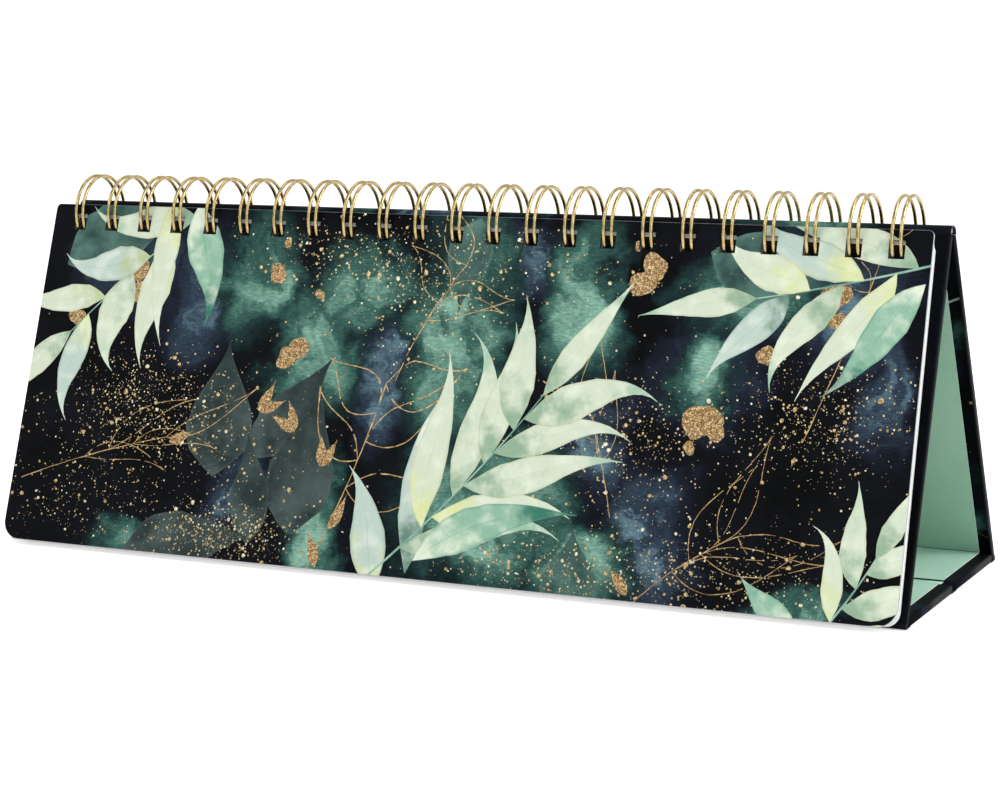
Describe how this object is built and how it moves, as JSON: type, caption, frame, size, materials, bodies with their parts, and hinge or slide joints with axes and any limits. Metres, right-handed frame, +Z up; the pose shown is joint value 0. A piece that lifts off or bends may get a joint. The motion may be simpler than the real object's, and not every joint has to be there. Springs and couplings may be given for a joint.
{
  "type": "desk calendar",
  "caption": "Tent-shaped flip desk calendar: a fold-flat hard easel with a twin-loop wire binding, a printed card cover, loose leaves and a page block.",
  "frame": {"origin": "centre of the bounding box on the table the calendar stands on", "axes": "+X runs along the binding to the reader's right, +Y from the reader to the back of the easel, +Z up; the cover faces -Y"},
  "size_m": [0.302, 0.1038, 0.1177],
  "materials": {
    "greyboard": "matt grey bookbinding board",
    "printed_wrap": "matt laminated print, near black with teal",
    "mint_paper": "matt mint-green lining paper",
    "cover_card": "matt laminated print with gold foil",
    "page_paper": "uncoated white paper",
    "gold_wire": "champagne gold coated wire, glossy"
  },
  "bodies": {
    "easel_front": {"front_board": "greyboard", "front_wrap": "printed_wrap", "front_liner": "mint_paper", "spine_board": "greyboard", "ridge_wrap": "printed_wrap", "front_foot_hinge": "printed_wrap", "wire_comb": "gold_wire"},
    "easel_rear": {"rear_board": "greyboard", "rear_wrap": "printed_wrap", "rear_liner": "mint_paper", "rear_foot_hinge": "printed_wrap"},
    "base_front": {"base_front_board": "greyboard", "base_front_wrap": "printed_wrap", "base_front_liner": "mint_paper", "crease_hinge": "printed_wrap", "crease_liner": "mint_paper"},
    "base_rear": {"base_rear_board": "greyboard", "base_rear_wrap": "printed_wrap", "base_rear_liner": "mint_paper"},
    "page_block": {"page_block": "page_paper"},
    "cover_rail": {"cover_rail": "cover_card"},
    "cover": {"cover": "cover_card"},
    "leaf_1_rail": {"leaf_1_rail": "page_paper"},
    "leaf_1": {"leaf_1": "page_paper"},
    "leaf_2_rail": {"leaf_2_rail": "page_paper"},
    "leaf_2": {"leaf_2": "page_paper"},
    "leaf_3_rail": {"leaf_3_rail": "page_paper"},
    "leaf_3": {"leaf_3": "page_paper"}
  },
  "joints": [
    {"name": "easel_fold", "type": "hinge", "parent": "easel_front", "child": "easel_rear", "pos_m": [0, 0.00233, 0.10587], "axis": [-1, 0, 0], "range_deg": [0, 18], "deforming": ["ridge_wrap"]},
    {"name": "base_front_fold", "type": "hinge", "parent": "easel_front", "child": "base_front", "pos_m": [0, -0.04586, 0.00015], "axis": [-1, 0, 0], "range_deg": [0, 90], "deforming": ["front_foot_hinge", "crease_hinge", "crease_liner"]},
    {"name": "base_rear_fold", "type": "hinge", "parent": "easel_rear", "child": "base_rear", "pos_m": [0, 0.05214, 0.00015], "axis": [1, 0, 0], "range_deg": [0, 90], "deforming": ["rear_foot_hinge"]},
    {"name": "cover_slide", "type": "hinge", "parent": "easel_front", "child": "cover_rail", "pos_m": [0, -0.00716, 0.1052], "axis": [-1, 0, 0], "range_deg": [0, 202.12], "deforming": ["cover_rail"]},
    {"name": "cover_swing", "type": "hinge", "parent": "cover_rail", "child": "cover", "pos_m": [0, -0.01861, 0.1016], "axis": [-1, 0, 0], "range_deg": [0, 115.08]},
    {"name": "leaf_1_slide", "type": "hinge", "parent": "easel_front", "child": "leaf_1_rail", "pos_m": [0, -0.00716, 0.1052], "axis": [-1, 0, 0], "range_deg": [0, 198.25], "deforming": ["leaf_1_rail"]},
    {"name": "leaf_1_swing", "type": "hinge", "parent": "leaf_1_rail", "child": "leaf_1", "pos_m": [0, -0.01825, 0.10061], "axis": [-1, 0, 0], "range_deg": [0, 118.25]},
    {"name": "leaf_2_slide", "type": "hinge", "parent": "easel_front", "child": "leaf_2_rail", "pos_m": [0, -0.00716, 0.1052], "axis": [-1, 0, 0], "range_deg": [0, 194.25], "deforming": ["leaf_2_rail"]},
    {"name": "leaf_2_swing", "type": "hinge", "parent": "leaf_2_rail", "child": "leaf_2", "pos_m": [0, -0.01807, 0.1002], "axis": [-1, 0, 0], "range_deg": [0, 121.25]},
    {"name": "leaf_3_slide", "type": "hinge", "parent": "easel_front", "child": "leaf_3_rail", "pos_m": [0, -0.00716, 0.1052], "axis": [-1, 0, 0], "range_deg": [0, 187.75], "deforming": ["leaf_3_rail"]},
    {"name": "leaf_3_swing", "type": "hinge", "parent": "leaf_3_rail", "child": "leaf_3", "pos_m": [0, -0.01788, 0.09981], "axis": [-1, 0, 0], "range_deg": [0, 126.75]},
    {"name": "page_block_lift", "type": "hinge", "parent": "easel_front", "child": "page_block", "pos_m": [0, -0.00716, 0.1052], "axis": [-1, 0, 0], "range_deg": [0, 8.2]}
  ],
  "couplings": [
    {"joint": "base_front_fold", "follows": "easel_fold", "ratio": 5},
    {"joint": "base_rear_fold", "follows": "easel_fold", "ratio": 5},
    {"joint": "cover_swing", "follows": "cover_slide", "ratio": 0.56685},
    {"joint": "leaf_1_slide", "follows": "cover_slide", "ratio": 0.97835},
    {"joint": "leaf_1_swing", "follows": "cover_slide", "ratio": 0.58256},
    {"joint": "leaf_2_slide", "follows": "cover_slide", "ratio": 0.95857},
    {"joint": "leaf_2_swing", "follows": "cover_slide", "ratio": 0.5974},
    {"joint": "leaf_3_slide", "follows": "cover_slide", "ratio": 0.92641},
    {"joint": "leaf_3_swing", "follows": "cover_slide", "ratio": 0.62461},
    {"joint": "page_block_lift", "follows": "cover_slide", "ratio": 0.03958}
  ]
}
